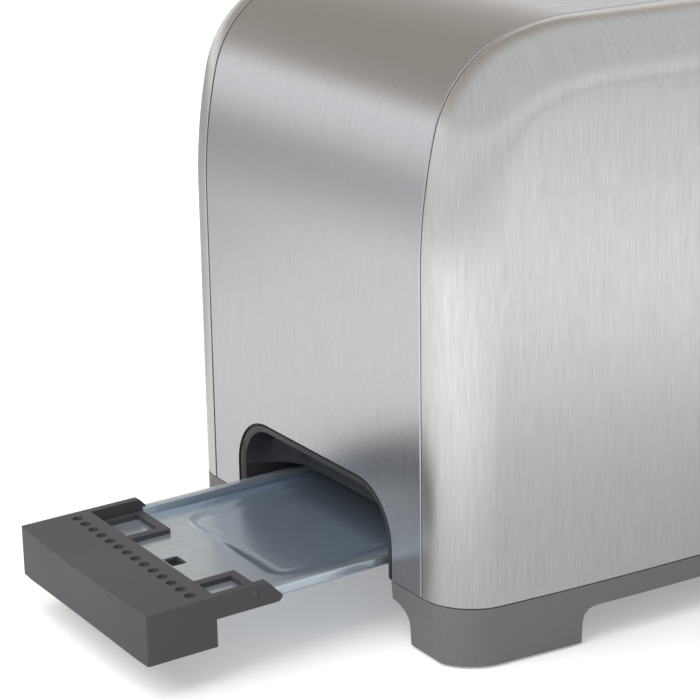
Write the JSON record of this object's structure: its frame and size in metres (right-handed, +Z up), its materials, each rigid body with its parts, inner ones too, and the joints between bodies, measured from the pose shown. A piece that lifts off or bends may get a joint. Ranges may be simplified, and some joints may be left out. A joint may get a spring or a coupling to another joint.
{
  "type": "two-slice toaster",
  "caption": "Pop-up toaster with brushed steel shell, plastic base, crumb tray drawn out, lever-driven bread carriage, closing bread guards, heaters and end controls.",
  "frame": {"origin": "middle of the bounding box in plan, on the plane the feet stand on", "axes": "+X from the crumb tray's end towards the lever's end, +Y from the front panel to the rear panel, +Z up"},
  "size_m": [0.3923, 0.171, 0.189],
  "materials": {
    "shell_steel": "brushed along the band and upright on the panels",
    "base_plastic": "fine texture",
    "dark_plastic": "fine texture",
    "handle_plastic": "satin",
    "tray_steel": "galvanised, dull",
    "chassis_steel": "galvanised",
    "pad_rubber": "dull",
    "mica": "pale speckled board",
    "ribbon": "heat-tinted",
    "wire_steel": "bright",
    "spring_steel": "oiled",
    "iron": "laminated",
    "coil_copper": "varnished winding",
    "board_green": "solder mask",
    "black_parts": "moulded",
    "lens": "translucent"
  },
  "bodies": {
    "housing": {"end_band": "shell_steel", "front_panel": "shell_steel", "rear_panel": "shell_steel", "base_frame": "base_plastic", "foot_pads": "pad_rubber", "bottom_plate": "chassis_steel", "cord_bush": "black_parts", "tray_opening_liner": "dark_plastic", "tray_rails": "chassis_steel", "chassis_plate_left": "chassis_steel", "chassis_plate_right": "chassis_steel", "chassis_top_frame": "chassis_steel", "heater_board_front": "mica", "heater_ribbon_front": "ribbon", "heater_board_centre_front": "mica", "heater_ribbon_centre_front": "ribbon", "heater_board_centre_rear": "mica", "heater_ribbon_centre_rear": "ribbon", "heater_board_rear": "mica", "heater_ribbon_rear": "ribbon", "heat_shield_front": "wire_steel", "heat_shield_rear": "wire_steel", "guide_rod": "wire_steel", "return_spring": "spring_steel", "magnet_core": "iron", "magnet_coil": "coil_copper", "mains_switch": "black_parts", "control_board": "board_green", "board_parts": "black_parts", "potentiometer": "black_parts", "indicator_lenses": "lens", "control_bezel": "dark_plastic"},
    "crumb_tray": {"crumb_tray": "tray_steel", "tray_handle": "handle_plastic"},
    "carriage": {"carriage": "chassis_steel", "bread_carrier_front": "wire_steel", "bread_carrier_rear": "wire_steel", "lever_knob": "handle_plastic", "latch_keeper": "iron"},
    "dial": {"browning_knob": "handle_plastic", "dial_shaft": "black_parts"},
    "button_low": {"push_button_low": "handle_plastic"},
    "button_middle": {"push_button_middle": "handle_plastic"},
    "button_high": {"push_button_high": "handle_plastic"},
    "guard_front_outer": {"bread_guard_front_outer": "wire_steel"},
    "guard_front_inner": {"bread_guard_front_inner": "wire_steel"},
    "guard_rear_outer": {"bread_guard_rear_outer": "wire_steel"},
    "guard_rear_inner": {"bread_guard_rear_inner": "wire_steel"}
  },
  "joints": [
    {"name": "tray_slide", "type": "slide", "parent": "housing", "child": "crumb_tray", "axis": [-1, 0, 0], "range_m": [-0.082, 0.06]},
    {"name": "lever_slide", "type": "slide", "parent": "housing", "child": "carriage", "axis": [0, 0, -1], "range_m": [0, 0.056], "stiffness_N_per_m": 70, "springref_m": -0.04, "deforming": ["return_spring"]},
    {"name": "dial_turn", "type": "hinge", "parent": "housing", "child": "dial", "pos_m": [0.17515, 0.029, 0.078], "axis": [1, 0, 0], "range_deg": [-140, 140]},
    {"name": "button_low_press", "type": "slide", "parent": "housing", "child": "button_low", "axis": [-1, 0, 0], "range_m": [0, 0.0016], "stiffness_N_per_m": 400},
    {"name": "button_middle_press", "type": "slide", "parent": "housing", "child": "button_middle", "axis": [-1, 0, 0], "range_m": [0, 0.0016], "stiffness_N_per_m": 400},
    {"name": "button_high_press", "type": "slide", "parent": "housing", "child": "button_high", "axis": [-1, 0, 0], "range_m": [0, 0.0016], "stiffness_N_per_m": 400},
    {"name": "guard_front_outer_swing", "type": "hinge", "parent": "housing", "child": "guard_front_outer", "pos_m": [0.03015, -0.043, 0.038], "axis": [1, 0, 0], "range_deg": [-4.31, 0]},
    {"name": "guard_front_inner_swing", "type": "hinge", "parent": "housing", "child": "guard_front_inner", "pos_m": [0.03015, -0.013, 0.038], "axis": [1, 0, 0], "range_deg": [0, 4.31]},
    {"name": "guard_rear_outer_swing", "type": "hinge", "parent": "housing", "child": "guard_rear_outer", "pos_m": [0.03015, 0.043, 0.038], "axis": [1, 0, 0], "range_deg": [0, 4.31]},
    {"name": "guard_rear_inner_swing", "type": "hinge", "parent": "housing", "child": "guard_rear_inner", "pos_m": [0.03015, 0.013, 0.038], "axis": [1, 0, 0], "range_deg": [-4.31, 0]}
  ],
  "couplings": [
    {"joint": "guard_front_outer_swing", "follows": "lever_slide", "rad_per_m": -1.3401},
    {"joint": "guard_front_inner_swing", "follows": "lever_slide", "rad_per_m": 1.3401},
    {"joint": "guard_rear_outer_swing", "follows": "lever_slide", "rad_per_m": 1.3401},
    {"joint": "guard_rear_inner_swing", "follows": "lever_slide", "rad_per_m": -1.3401}
  ]
}
